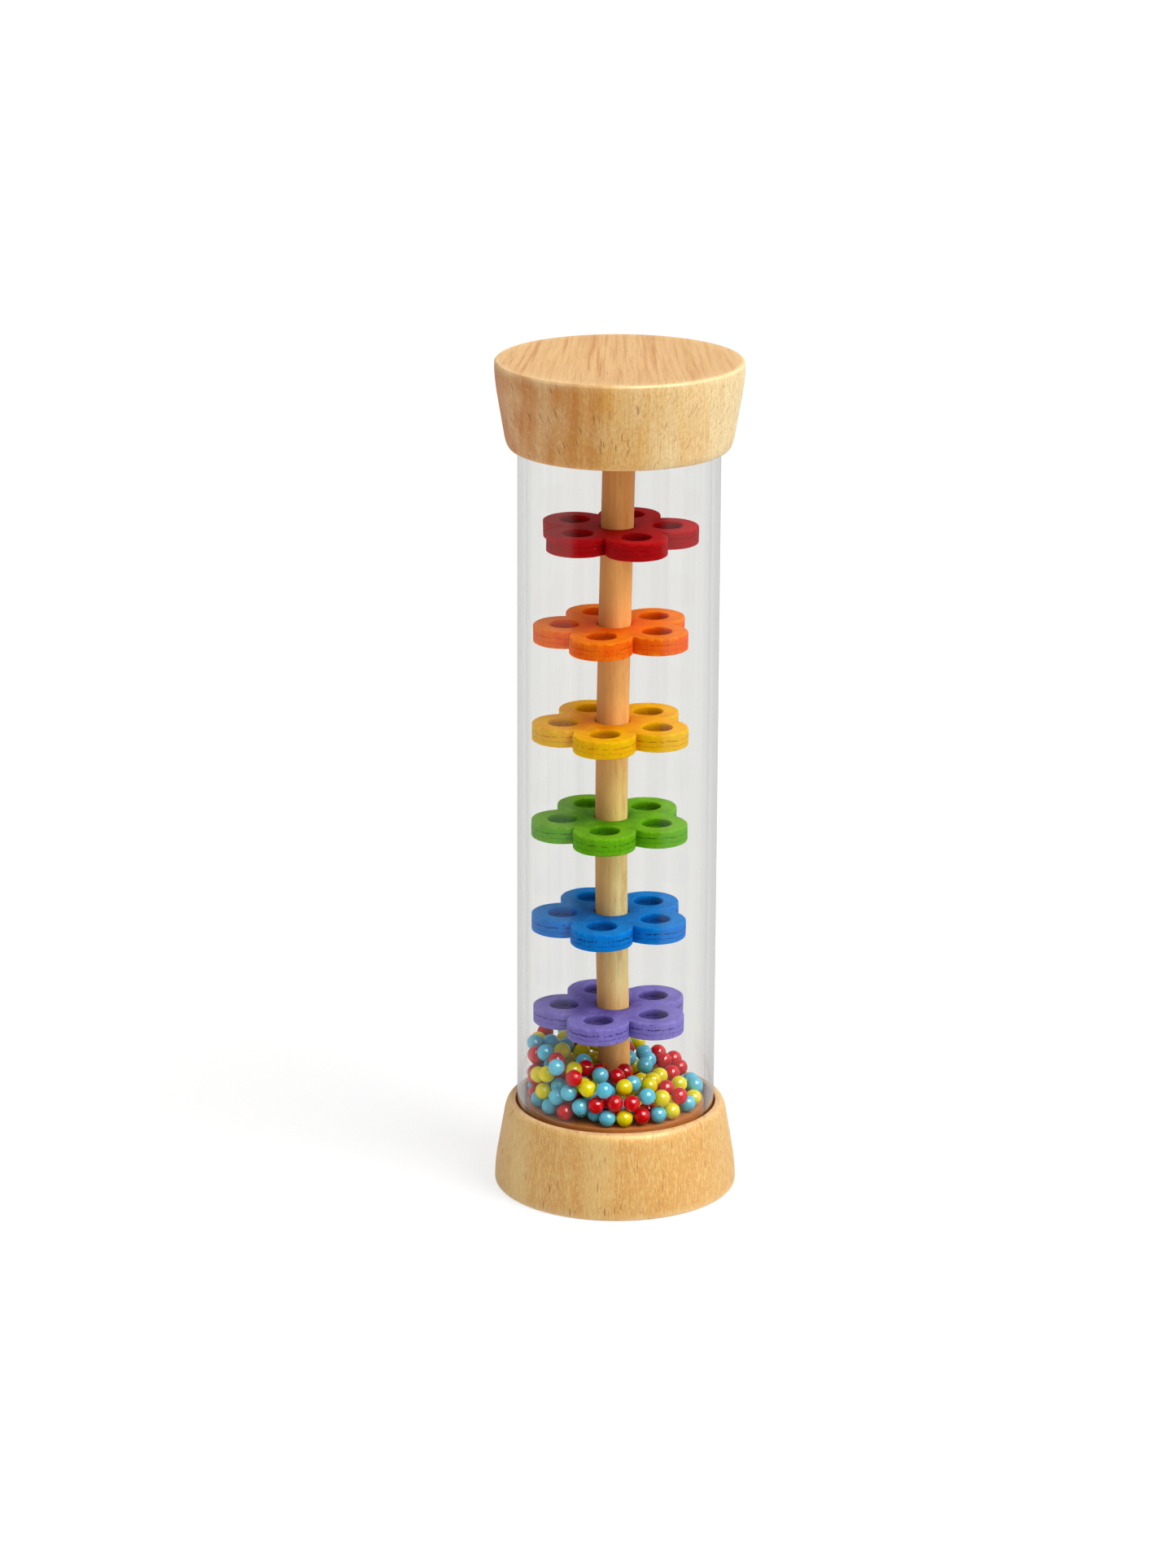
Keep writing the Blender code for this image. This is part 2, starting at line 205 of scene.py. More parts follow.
# =====================================================================
# materials
# =====================================================================
def beech(name, lean, level, shift, pale, mid, dark, top_pale, top_dark, painted_sheen_lean, strong, faint, right_share, grainy):
    """Satin beech cut so that the growth rings stand on edge from front to back.

    Tone bands follow x, ray flecks follow the fibres, which lean back by lean degrees, and the flat
    faces show long straight streaks.
    """
    k = Look(name)
    place = k.place()
    at = k.stretch(place, (1, 1, 1), shift)
    up = k.remap(k.facing_up(), 0.72, 0.92)
    on_side = k.maths("SUBTRACT", 1.0, up)
    x, y, z = k.split(place)
    fibre = k.turn(at, "X", lean)
    wavy = k.warp(at, k.noise_vector(k.stretch(at, (0.05, 0.035, 0.035)), 1.0, 2.0), (3.0, 0.0, 0.0))

    # turned side
    broad = k.noise(k.stretch(wavy, (0.13, 0.012, 0.012)), 1.0, 2.0, 0.5)
    # painted light: the tone leans along x, so one flank is paler than the other where the light and sheen fall on it,
    # over the wood's own broad tone
    broad = k.maths("ADD", k.remap(broad, 0.0, 1.0, 0.22, 0.78, "LINEAR"), k.maths("MULTIPLY", x, painted_sheen_lean))
    bands = k.noise(k.stretch(wavy, (0.62, 0.02, 0.03)), 1.0, 2.0, 0.55)
    lines = k.noise(k.stretch(wavy, (3.1, 0.1, 0.09)), 1.0, 2.0, 0.55)
    dash = k.noise(k.stretch(fibre, (2.2, 1.2, 0.5)), 1.0, 2.0, 0.6)
    fine = k.noise(k.stretch(fibre, (4.4, 2.4, 1.3)), 1.0, 2.0, 0.65)
    cloud = k.noise(k.stretch(at, (0.11, 0.11, 0.07)), 1.0, 2.0, 0.5)
    side = k.ramp(broad, [(0.28, dark), (0.5, mid), (0.74, pale)])
    side = k.blend(k.remap(bands, 0.44, 0.64, 0.0, 0.13), side, pale)
    side = k.blend(k.remap(bands, 0.46, 0.3, 0.0, 0.12), side, dark)
    side = k.blend(k.remap(cloud, 0.45, 0.7, 0.0, 0.3), side, pale)
    side = k.blend(k.remap(lines, 0.46, 0.68, 0.0, 0.22), side, dark)
    side = k.blend(k.remap(dash, 0.48, 0.68, 0.0, 0.42 * grainy), side, dark)
    side = k.blend(k.remap(dash, 0.47, 0.32, 0.0, 0.25 * grainy), side, pale)
    side = k.blend(k.remap(fine, 0.48, 0.68, 0.0, 0.36 * grainy), side, dark)

    # flat faces
    narrow = k.maths("MULTIPLY", x, k.maths("ADD", 1.0, k.maths("MULTIPLY", y, 0.004)))
    fan = k.node("ShaderNodeCombineXYZ", {"X": narrow, "Y": y, "Z": shift[2]}).outputs[0]
    flat_at = k.warp(fan, k.noise_vector(k.stretch(fan, (0.05, 0.03, 0.05)), 1.0, 2.0), (1.2, 1.0, 0.0))
    streak = k.noise(k.stretch(flat_at, (0.95, 0.03, 0.05)), 1.0, 3.0, 0.6)
    hair = k.noise(k.stretch(flat_at, (3.8, 0.13, 0.1)), 1.0, 3.0, 0.65)
    wide = k.noise(k.stretch(flat_at, (0.16, 0.008, 0.05)), 1.0, 2.0, 0.5)
    split, split_chance = k.cells(k.stretch(flat_at, (1.1, 0.14, 0.05)), 1.0)
    between = tuple(0.35 * a + 0.65 * b for a, b in zip(top_dark, top_pale))
    flat = k.ramp(streak, [(0.36, top_dark), (0.48, between), (0.6, top_pale)])
    flat = k.blend(k.remap(wide, 0.44, 0.62, 0.0, 0.6), flat, top_pale)
    flat = k.blend(k.remap(wide, 0.45, 0.34, 0.0, 0.45), flat, top_dark)
    flat = k.blend(k.remap(hair, 0.5, 0.68, 0.0, 0.5), flat, top_dark)
    gash = k.maths("MULTIPLY", k.remap(split, 0.08, 0.3, 1.0, 0.0), k.remap(split_chance, 0.78, 0.9, 0.0, 0.4))
    flat = k.blend(gash, flat, tuple(0.7 * c for c in top_dark))

    # ray flecks, few strong and many faint, drawn round the turned side: upright in front, leaning back at the flanks
    angle = k.maths("ARCTAN2", x, k.maths("MULTIPLY", y, -1.0))
    slide = k.maths("MULTIPLY", k.maths("SUBTRACT", z, level), k.maths("MULTIPLY", k.maths("SINE", angle), math.tan(math.radians(lean))))
    round_at = k.maths("SUBTRACT", k.maths("MULTIPLY", angle, 27.0), slide)
    skin = k.node("ShaderNodeCombineXYZ", {"X": round_at, "Y": z, "Z": 0.0}).outputs[0]
    wander = k.noise_vector(k.stretch(skin, (0.5, 0.4, 1.0), shift), 1.0, 2.0)
    drift = k.warp(skin, wander, (0.4, 0.0, 0.0))
    spot, chance = k.cells(k.stretch(drift, (1.35, 0.2, 0.0), shift), 1.0)
    fleck = k.maths("MULTIPLY", k.remap(spot, 0.13, 0.27, 1.0, 0.0), k.remap(chance, 1.0 - strong, 1.0 - 0.4 * strong))
    fleck = k.maths("MULTIPLY", k.maths("MULTIPLY", fleck, on_side), k.remap(x, -4.0, 14.0, 1.0, right_share))
    tick, tick_chance = k.cells(k.stretch(drift, (2.1, 0.4, 0.0), (7.7, 3.1, 5.3)), 1.0)
    pore = k.maths("MULTIPLY", k.remap(tick, 0.14, 0.32, 1.0, 0.0), k.remap(tick_chance, 1.0 - faint, 1.0 - 0.3 * faint))
    pore = k.maths("MULTIPLY", pore, on_side)

    colour = k.blend(up, side, flat)
    colour = k.blend(k.maths("MULTIPLY", pore, 0.42), colour, (0.40, 0.17, 0.045))
    colour = k.blend(k.maths("MULTIPLY", fleck, 0.78), colour, (0.20, 0.065, 0.016))
    # the grooved inside, the floor and the socket keep raw, warmer wood, painted darker as the shade in these hollows
    colour = k.blend(k.maths("MULTIPLY", k.attribute("raw"), 0.92), colour, (0.46, 0.13, 0.016))
    # edge wear with a painted highlight: paler along the rounded arrises
    worn_and_lit = k.maths("MULTIPLY", k.attribute("edge"), k.remap(cloud, 0.3, 0.6, 0.5, 1.0))
    colour = k.blend(k.maths("MULTIPLY", worn_and_lit, 0.45), colour, (0.88, 0.67, 0.38))

    height = k.maths("ADD", k.maths("MULTIPLY", fine, 0.35), k.maths("MULTIPLY", k.maths("ADD", fleck, pore), -1.0))
    rough = k.remap(fine, 0.2, 0.8, 0.34, 0.5, "LINEAR")
    rough = k.maths("ADD", rough, k.maths("MULTIPLY", fleck, 0.2))
    return k.principled(
        Base_Color=colour, Roughness=rough, Specular_IOR_Level=0.36, Normal=k.bump(height, 0.04, 0.8)
    )


def dowel_wood(name):
    """Close-grained dowel: fine lines along its length, redder towards the head, a few pores and faint sanding; painted
    shade darkens the left flank and the top just under the head cap.
    """
    k = Look(name)
    at = k.place()
    x, _, z = k.split(at)
    bent = k.warp(at, k.noise_vector(k.stretch(at, (0.12, 0.12, 0.03)), 1.0, 2.0), (1.8, 1.8, 0.0))
    lines = k.noise(k.stretch(bent, (0.9, 0.9, 0.012)), 1.0, 3.0, 0.6)
    fine = k.noise(k.stretch(at, (5.0, 5.0, 0.3)), 1.0, 3.0, 0.7)
    slow = k.noise(k.stretch(at, (0.12, 0.12, 0.03)), 1.0, 2.0, 0.5)
    head = k.remap(k.maths("ADD", z, k.maths("MULTIPLY", slow, 40.0)), 85.0, 165.0)
    head = k.maths("MAXIMUM", head, k.remap(z, 52.0, 40.0, 0.0, 0.9))
    red = k.ramp(lines, [(0.34, (0.92, 0.45, 0.12)), (0.5, (0.98, 0.51, 0.15)), (0.66, (0.98, 0.57, 0.19))])
    fair = k.ramp(lines, [(0.34, (0.95, 0.66, 0.24)), (0.5, (0.98, 0.73, 0.28)), (0.66, (0.98, 0.78, 0.35))])
    colour = k.blend(head, fair, red)
    mottle = k.noise(k.stretch(bent, (0.8, 0.8, 0.16), (2.0, 5.0, 9.0)), 1.0, 3.0, 0.6)
    colour = k.blend(k.remap(mottle, 0.5, 0.72, 0.0, 0.45), colour, (0.66, 0.33, 0.11))
    colour = k.blend(k.remap(fine, 0.46, 0.75, 0.0, 0.3), colour, (0.62, 0.30, 0.10))
    # painted shade: darker and redder down the left flank, away from the light
    shaded_flank = k.maths("ADD", x, k.maths("MULTIPLY", k.maths("SUBTRACT", mottle, 0.5), 2.5))
    colour = k.blend(k.remap(shaded_flank, 0.6, -3.9, 0.0, 0.72), colour, (0.46, 0.19, 0.05))
    # painted shade: darker and redder just under the head cap
    colour = k.blend(k.remap(z, 158.0, 181.0, 0.0, 0.55), colour, (0.50, 0.17, 0.035))
    spot, chance = k.cells(k.stretch(at, (1.9, 1.9, 0.3)), 1.0)
    fleck = k.maths("MULTIPLY", k.remap(spot, 0.08, 0.22, 1.0, 0.0), k.remap(chance, 0.7, 0.9))
    colour = k.blend(k.maths("MULTIPLY", fleck, 0.35), colour, (0.36, 0.14, 0.04))
    height = k.maths("SUBTRACT", k.maths("MULTIPLY", fine, 0.4), fleck)
    rough = k.remap(fine, 0.2, 0.8, 0.46, 0.62, "LINEAR")
    return k.principled(Base_Color=colour, Roughness=rough, Specular_IOR_Level=0.15, Normal=k.bump(height, 0.03, 0.6))


def paint(name, body, deep, pale, line, sawn, degrees, lines_strength, scratches, specks):
    """Matt stain on plywood: brushed streaks and broken dark glue lines on the sawn edge, faint veneer grain on top."""
    k = Look(name)
    at = k.place()
    x, y, z = k.split(at)
    up = k.remap(k.facing_up(), 0.55, 0.85)
    side = k.maths("SUBTRACT", 1.0, up)
    veneer = k.turn(at, "Z", degrees)
    grain = k.noise(k.stretch(veneer, (0.22, 3.2, 0.4)), 1.0, 3.0, 0.6)
    cloud = k.noise(at, 0.16, 3.0, 0.6)
    grit = k.noise(at, 5.5, 2.0, 0.7)
    brushed = k.noise(k.stretch(at, (2.6, 2.6, 0.3)), 1.0, 3.0, 0.65)

    colour = k.blend(k.remap(cloud, 0.3, 0.7), deep, body)
    reach = k.node("ShaderNodeVectorMath", {0: k.stretch(at, (1, 1, 0))}, operation="LENGTH").outputs["Value"]
    # painted light: paler out towards the petal tips
    colour = k.blend(k.remap(reach, 5.0, 17.0, 0.0, 0.42), colour, pale)
    # painted shade: darker round the rod
    colour = k.blend(k.maths("MULTIPLY", k.remap(reach, 4.0, 7.5, 1.0, 0.0), 0.5), colour, deep)
    colour = k.blend(k.maths("MULTIPLY", k.remap(grain, 0.42, 0.72), k.maths("MULTIPLY", up, 0.38)), colour, deep)
    colour = k.blend(k.maths("MULTIPLY", k.remap(grain, 0.46, 0.3), k.maths("MULTIPLY", up, 0.16)), colour, pale)
    colour = k.blend(k.maths("MULTIPLY", k.remap(brushed, 0.4, 0.72), k.maths("MULTIPLY", side, 0.6)), colour, deep)
    colour = k.blend(k.maths("MULTIPLY", k.remap(brushed, 0.48, 0.3), k.maths("MULTIPLY", side, 0.3)), colour, pale)
    colour = k.blend(k.maths("MULTIPLY", k.remap(grit, 0.5, 0.8), 0.28), colour, deep)
    colour = k.blend(k.maths("MULTIPLY", side, k.remap(cloud, 0.35, 0.62, 0.35, 0.8)), colour, sawn)

    # glue lines of the plywood: thin, wavy and broken
    wave = k.maths("MULTIPLY", k.maths("SUBTRACT", k.noise(k.stretch(at, (0.35, 0.35, 0.0)), 1.0, 3.0, 0.6), 0.5), 0.75)
    level = k.maths("ADD", z, wave)
    gaps = k.noise(k.stretch(at, (0.8, 0.8, 0.2), (3.1, 8.2, 1.7)), 1.0, 3.0, 0.65)
    first = k.maths("ABSOLUTE", k.maths("SUBTRACT", level, 0.42))
    first = k.maths("MULTIPLY", k.remap(first, 0.07, 0.20, 1.0, 0.0), k.remap(gaps, 0.41, 0.50))
    second = k.maths("ABSOLUTE", k.maths("SUBTRACT", level, -0.72))
    second = k.maths("MULTIPLY", k.remap(second, 0.04, 0.13, 1.0, 0.0), k.remap(gaps, 0.60, 0.52))
    second = k.maths("MULTIPLY", second, 0.7)
    dots = k.noise(k.stretch(at, (2.4, 2.4, 1.2), (4.4, 1.9, 0.6)), 1.0, 2.0, 0.6)
    ply = k.maths("MULTIPLY", k.maths("MAXIMUM", first, second), k.maths("MULTIPLY", side, k.remap(dots, 0.37, 0.50, 0.1, 1.0)))
    spot, chance = k.cells(k.stretch(at, (0.75, 0.75, 2.2), (1.3, 0.4, 2.2)), 1.0)
    nick = k.maths("MULTIPLY", k.remap(spot, 0.1, 0.24, 1.0, 0.0), k.remap(chance, 1.0 - scratches, 1.04 - scratches))
    nick = k.maths("MULTIPLY", nick, side)
    dark = k.maths("MAXIMUM", k.maths("MULTIPLY", ply, lines_strength), nick)
    colour = k.blend(k.maths("MULTIPLY", dark, 0.95), colour, line)

    # rubbed arrises with a painted highlight along them, and stray dust
    mark = k.attribute("rim")
    rim = k.maths("MAXIMUM", mark, 0.0)
    rub_and_glint = k.remap(k.noise(at, 0.9, 3.0, 0.6), 0.42, 0.66)
    colour = k.blend(k.maths("MULTIPLY", k.maths("MULTIPLY", rim, rub_and_glint), 0.5), colour, pale)
    # painted shade: darker down the drilled holes
    hole_shade = tuple(0.42 * a + 0.25 * b for a, b in zip(deep, line))
    colour = k.blend(k.remap(mark, 0.0, -0.9, 0.0, 0.6), colour, hole_shade)
    if specks:
        dust, dust_chance = k.cells(at, 0.8)
        dust = k.maths("MULTIPLY", k.remap(dust, 0.05, 0.12, 1.0, 0.0), k.remap(dust_chance, 1.0 - specks, 1.02 - specks))
        colour = k.blend(k.maths("MULTIPLY", dust, 0.6), colour, (0.85, 0.72, 0.68))

    height = k.maths("ADD", k.maths("MULTIPLY", k.maths("MULTIPLY", brushed, side), 0.8), k.maths("MULTIPLY", grain, 0.4))
    height = k.maths("SUBTRACT", k.maths("ADD", height, k.maths("MULTIPLY", grit, 0.35)), dark)
    rough = k.remap(grit, 0.25, 0.75, 0.5, 0.66, "LINEAR")
    return k.principled(Base_Color=colour, Roughness=rough, Specular_IOR_Level=0.06, Normal=k.bump(height, 0.06, 0.8))


def bead_gloss(name, body, deep, pale):
    """Glossy moulded bead: colour that clouds a little, handling haze, fine ripple."""
    k = Look(name)
    at = k.place()
    tone = k.attribute("tone")
    cloud = k.noise(at, 0.55, 2.0, 0.5)
    fleck = k.noise(at, 6.0, 2.0, 0.6)
    colour = k.blend(k.remap(cloud, 0.35, 0.7, 0.0, 0.55), body, deep)
    colour = k.blend(k.remap(tone, 0.0, 1.0, 0.0, 0.35, "LINEAR"), colour, pale)
    colour = k.blend(k.remap(fleck, 0.6, 0.8, 0.0, 0.25), colour, deep)
    haze = k.noise(at, 1.1, 3.0, 0.6)
    rough = k.remap(haze, 0.35, 0.75, 0.04, 0.09, "LINEAR")
    ripple = k.maths("ADD", k.noise(at, 0.9, 2.0, 0.5), k.maths("MULTIPLY", fleck, 0.12))
    return k.principled(Base_Color=colour, Roughness=rough, Specular_IOR_Level=0.42, Normal=k.bump(ripple, 0.05, 0.4))


def clear_wall(name):
    """Clear extruded tube: lets sight and light through, mirrors more at a slant, greyer where the wall is seen edge on."""
    k = Look(name)
    at = k.place()
    slant = k.node("ShaderNodeLayerWeight", {"Blend": 0.5}).outputs["Facing"]
    bore = k.attribute("bore")
    draw = k.noise(k.stretch(at, (0.35, 0.35, 0.004)), 1.0, 2.0, 0.5)
    clear = k.ramp(slant, [(0.0, (0.930, 0.929, 0.924)), (0.5, (0.929, 0.929, 0.925)), (0.75, (0.905, 0.907, 0.904))])
    clear = k.blend(bore, clear, (0.930, 0.929, 0.924))
    tint = k.blend(k.remap(draw, 0.42, 0.62, 0.0, 1.0), clear, k.blend(1.0, clear, (0.982, 0.983, 0.982), "MULTIPLY"))
    through = k.node("ShaderNodeBsdfTransparent", {"Color": tint}).outputs[0]
    haze = k.noise(k.stretch(at, (0.25, 0.25, 0.05)), 1.0, 3.0, 0.6)
    rough = k.remap(haze, 0.4, 0.7, 0.015, 0.05, "LINEAR")
    ripple = k.bump(k.noise(k.stretch(at, (0.12, 0.12, 0.01)), 1.0, 2.0, 0.4), 0.05, 0.3)
    mirror = k.node("ShaderNodeBsdfGlossy", {"Color": (1.0, 1.0, 1.0), "Roughness": rough, "Normal": ripple}).outputs[0]
    sheen = k.ramp(
        slant,
        [
            (0.0, (0.002,) * 3),
            (0.09, (0.008,) * 3),
            (0.16, (0.026,) * 3),
            (0.36, (0.034,) * 3),
            (0.48, (0.08,) * 3),
            (0.57, (0.20,) * 3),
            (0.67, (0.48,) * 3),
            (0.85, (0.62,) * 3),
            (1.0, (0.70,) * 3),
        ],
    )
    share = k.maths("MULTIPLY", sheen, k.maths("SUBTRACT", 1.0, bore))
    wall = k.node("ShaderNodeMixShader", {0: share, 1: through, 2: mirror}).outputs[0]
    # lamps and bounced light pass straight through
    lit = k.node("ShaderNodeBsdfTransparent", {"Color": (1.0, 1.0, 1.0)}).outputs[0]
    path = k.node("ShaderNodeLightPath")
    passing = k.maths("MAXIMUM", path.outputs["Is Shadow Ray"], path.outputs["Is Diffuse Ray"])
    mixed = k.node("ShaderNodeMixShader", {0: passing, 1: wall, 2: lit}).outputs[0]
    k.tree.links.new(mixed, k.out.inputs["Surface"])
    return k.mat


def floor_look(name):
    """White sweep, lit up to clean white for the eye but bouncing as plain matt card."""
    k = Look(name)
    at = k.place()
    cloud = k.noise(at, 0.002, 2.0, 0.5)
    colour = k.blend(k.remap(cloud, 0.3, 0.7), (0.86, 0.86, 0.86), (0.88, 0.88, 0.88))
    card = k.node("ShaderNodeBsdfDiffuse", {"Color": colour, "Roughness": 0.6}).outputs[0]
    glow = k.node("ShaderNodeEmission", {"Color": (1.0, 1.0, 1.0), "Strength": 1.014}).outputs[0]
    eye = k.maths("MULTIPLY", k.node("ShaderNodeLightPath").outputs["Is Camera Ray"], 0.71)
    both = k.node("ShaderNodeMixShader", {0: eye, 1: card, 2: glow}).outputs[0]
    k.tree.links.new(both, k.out.inputs["Surface"])
    return k.mat


# =====================================================================
# mesh helpers
# =====================================================================
def add(name, mesh, mat, at=(0, 0, 0)):
    obj = bpy.data.objects.new(name, mesh)
    obj.location = Vector(at) * MM
    mesh.materials.clear()
    mesh.materials.append(mat)
    bpy.context.scene.collection.objects.link(obj)
    return obj


def finish_mesh(name, verts, faces, floats=None, sharp=35.0):
    mesh = bpy.data.meshes.new(name)
    mesh.from_pydata([(x * MM, y * MM, z * MM) for x, y, z in verts], [], faces)
    bm = bmesh.new()
    bm.from_mesh(mesh)
    bmesh.ops.recalc_face_normals(bm, faces=bm.faces)
    bm.to_mesh(mesh)
    bm.free()
    for key, values in (floats or {}).items():
        layer = mesh.attributes.new(key, "FLOAT", "POINT")
        layer.data.foreach_set("value", np.asarray(values, dtype=np.float32))
    mesh.shade_smooth()
    if sharp:
        mesh.set_sharp_from_angle(angle=math.radians(sharp))
    mesh.update()
    return mesh


def rounded(before, corner, after, radius, steps):
    corner = Vector(corner)
    to_a, to_b = (Vector(before) - corner).normalized(), (Vector(after) - corner).normalized()
    half = to_a.angle(to_b) / 2
    centre = corner + (to_a + to_b).normalized() * radius / math.sin(half)
    start = corner + to_a * radius / math.tan(half) - centre
    end = corner + to_b * radius / math.tan(half) - centre
    turn = start.angle_signed(end)
    first = math.atan2(start.y, start.x)
    return [
        (centre.x + radius * math.cos(first - turn * i / steps), centre.y + radius * math.sin(first - turn * i / steps))
        for i in range(steps + 1)
    ]


def along(a, b, count):
    """count points after a on the way to b, b included"""
    return [(a[0] + (b[0] - a[0]) * i / count, a[1] + (b[1] - a[1]) * i / count) for i in range(1, count + 1)]


def lathe(profile, steps, closed=False):
    """verts, faces and each vertex's profile index from (radius, height, ...) points turned about Z."""
    verts, faces, source, rings = [], [], [], []
    for i, p in enumerate(profile):
        if p[0] < 1e-6:
            rings.append([len(verts)])
            verts.append((0.0, 0.0, p[1]))
            source.append(i)
            continue
        rings.append(list(range(len(verts), len(verts) + steps)))
        for s in range(steps):
            a = 2 * math.pi * s / steps
            verts.append((p[0] * math.cos(a), p[0] * math.sin(a), p[1]))
            source.append(i)
    pairs = list(zip(rings, rings[1:])) + ([(rings[-1], rings[0])] if closed else [])
    for a, b in pairs:
        for s in range(steps):
            t = (s + 1) % steps
            if len(a) == 1 and len(b) == 1:
                continue
            if len(a) == 1:
                faces.append((a[0], b[s], b[t]))
            elif len(b) == 1:
                faces.append((a[s], b[0], a[t]))
            else:
                faces.append((a[s], b[s], b[t], a[t]))
    return verts, faces, source


# =====================================================================
# caps
# =====================================================================
def side_at(z):
    return CAP_WIDE_R + (CAP_NARROW_R - CAP_WIDE_R) * z / CAP_H, z


def soft_corner(start, corner, end, steps):
    return [
        tuple((1 - t) ** 2 * a + 2 * t * (1 - t) * c + t * t * b for a, c, b in zip(start, corner, end))
        for t in (i / steps for i in range(steps + 1))
    ]


def cap_mesh(name, flip):
    """Points carry (radius, height, raw wood painted darker as shade in the hollows, edge wear with a painted
    highlight).
    """
    belly = (CAP_BELLY_R, (CAP_WIDE_R - CAP_BELLY_R) / (CAP_WIDE_R - CAP_NARROW_R) * CAP_H)
    points = [(0.0, SOCKET_Z, 1, 0), (BORE_R, SOCKET_Z, 1, 0)]
    points += [(r, z, 1, 0) for r, z in along((BORE_R, SOCKET_Z), (BORE_R, FLOOR_Z - 0.25), 3)]
    points += [(BORE_R + 0.07, FLOOR_Z - 0.07, 1, 0), (BORE_R + 0.25, FLOOR_Z, 0.9, 0)]
    points += [(r, z, 0.9, 0) for r, z in along((BORE_R + 0.25, FLOOR_Z), (GROOVE_IN_R - 0.25, FLOOR_Z), 8)]
    points += [(GROOVE_IN_R - 0.07, FLOOR_Z - 0.07, 1, 0), (GROOVE_IN_R, FLOOR_Z - 0.25, 1, 0)]
    points += [(r, z, 1, 0) for r, z in along((GROOVE_IN_R, FLOOR_Z - 0.25), (GROOVE_IN_R, GROOVE_Z), 3)]
    points += [(GROOVE_OUT_R, GROOVE_Z, 1, 0)]
    points += [(r, z, 1, 0) for r, z in along((GROOVE_OUT_R, GROOVE_Z), (GROOVE_OUT_R, CAP_H - 1.0), 4)]
    points += [(GROOVE_OUT_R, CAP_H - 0.5, 0.9, 0), (GROOVE_OUT_R, CAP_H - 0.24, 0.6, 0.2)]
    points += [(GROOVE_OUT_R + 0.05, CAP_H - 0.1, 0.3, 0.7), (GROOVE_OUT_R + 0.14, CAP_H - 0.03, 0.1, 1)]
    points += [(GROOVE_OUT_R + 0.26, CAP_H, 0.0, 0.8), (GROOVE_OUT_R + 0.6, CAP_H, 0.0, 0.4)]
    rim = soft_corner((CAP_RIM_FLAT_R, CAP_H), (CAP_NARROW_R, CAP_H), side_at(CAP_RIM_Z), 16)
    points += [(r, z, 0, max(0.0, 0.5 - 0.8 * i / 16)) for i, (r, z) in enumerate(rim)]
    waist = soft_corner(side_at(CAP_BELLY_Z), belly, (CAP_BELLY_R, CAP_EDGE_ROUND), 10)
    points += [(r, z, 0, 0.0) for r, z in along(rim[-1], waist[0], 10)[:-1]]
    points += [(r, z, 0, max(0.0, (i - 8) / 4)) for i, (r, z) in enumerate(waist)]
    edge = rounded(belly, (CAP_BELLY_R, 0.0), (0.0, 0.0), CAP_EDGE_ROUND, 8)[1:]
    points += [(r, z, 0, 1.0) for r, z in edge]
    points += [(edge[-1][0] - 0.35, 0.0, 0, 0.4)]
    points += [(r, z, 0, 0) for r, z in along((edge[-1][0] - 0.35, 0.0), (0.0, 0.0), 10)]
    if flip:
        points = [(r, HEIGHT - z, raw, worn_and_lit) for r, z, raw, worn_and_lit in points]
    verts, faces, source = lathe(points, 192)
    floats = {"raw": [points[i][2] for i in source], "edge": [points[i][3] for i in source]}
    return finish_mesh(name, verts, faces, floats, 40.0)


# =====================================================================
# tube and dowel
# =====================================================================
def tube_mesh(name):
    inner, low, high, c = TUBE_R - TUBE_WALL, TUBE_END, HEIGHT - TUBE_END, 0.25
    ring = [(TUBE_R, high - c), (TUBE_R, low + c), (TUBE_R - c, low), (inner + c, low), (inner, low + c)]
    points = [ring[0]] + along(ring[0], ring[1], 24) + ring[2:] + along(ring[4], (inner, high - c), 24)
    points += [(inner + c, high), (TUBE_R - c, high)]
    verts, faces, source = lathe(points, 160, closed=True)
    bore = [1.0 if points[i][0] < TUBE_R - 1.0 else 0.0 for i in source]
    return finish_mesh(name, verts, faces, {"bore": bore}, 30.0)


def dowel_mesh(name):
    steps, c = 56, 0.4
    heights = [ROD_END + (HEIGHT - 2 * ROD_END) * i / 96 for i in range(97)]
    rows = [(ROD_END, 0.0), (ROD_END, ROD_R - c), (ROD_END + c, ROD_R)]
    rows += [(z, ROD_R) for z in heights[1:-1]]
    rows += [(HEIGHT - ROD_END - c, ROD_R), (HEIGHT - ROD_END, ROD_R - c), (HEIGHT - ROD_END, 0.0)]
    verts, faces, _ = lathe([(r, z) for z, r in rows], steps)
    moved = []
    for x, y, z in verts:
        a = math.atan2(y, x)
        uneven = 1 + 0.004 * math.sin(3 * a + z * 0.05) if abs(x) + abs(y) > 0.1 else 1.0
        moved.append((x * min(uneven, 1.0) + bow_at(z), y * min(uneven, 1.0), z))
    return finish_mesh(name, moved, faces, None, 35.0)


# =====================================================================
# flower discs
# =====================================================================
def petal_outline(turn, inset, steps=26):
    """Outline of the five petals, pulled in by inset. The first point of each petal is the notch before it."""
    half, radius = math.pi / PETALS, PETAL_R - inset
    notch = PETAL_AT * math.cos(half) + math.sqrt(PETAL_R**2 - (PETAL_AT * math.sin(half)) ** 2)
    sweep = math.atan2(notch * math.sin(half), notch * math.cos(half) - PETAL_AT)
    points = []
    for petal in range(PETALS):
        out = turn + 2 * half * petal
        points.append(((notch - inset) * math.cos(out - half), (notch - inset) * math.sin(out - half)))
        for i in range(1, steps):
            a = -sweep + 2 * sweep * i / steps
            x, y = PETAL_AT + radius * math.cos(a), radius * math.sin(a)
            points.append((x * math.cos(out) - y * math.sin(out), x * math.sin(out) + y * math.cos(out)))
    return points


def circle(cx, cy, radius, steps):
    return [
        (cx + radius * math.cos(2 * math.pi * i / steps), cy + radius * math.sin(2 * math.pi * i / steps))
        for i in range(steps)
    ]


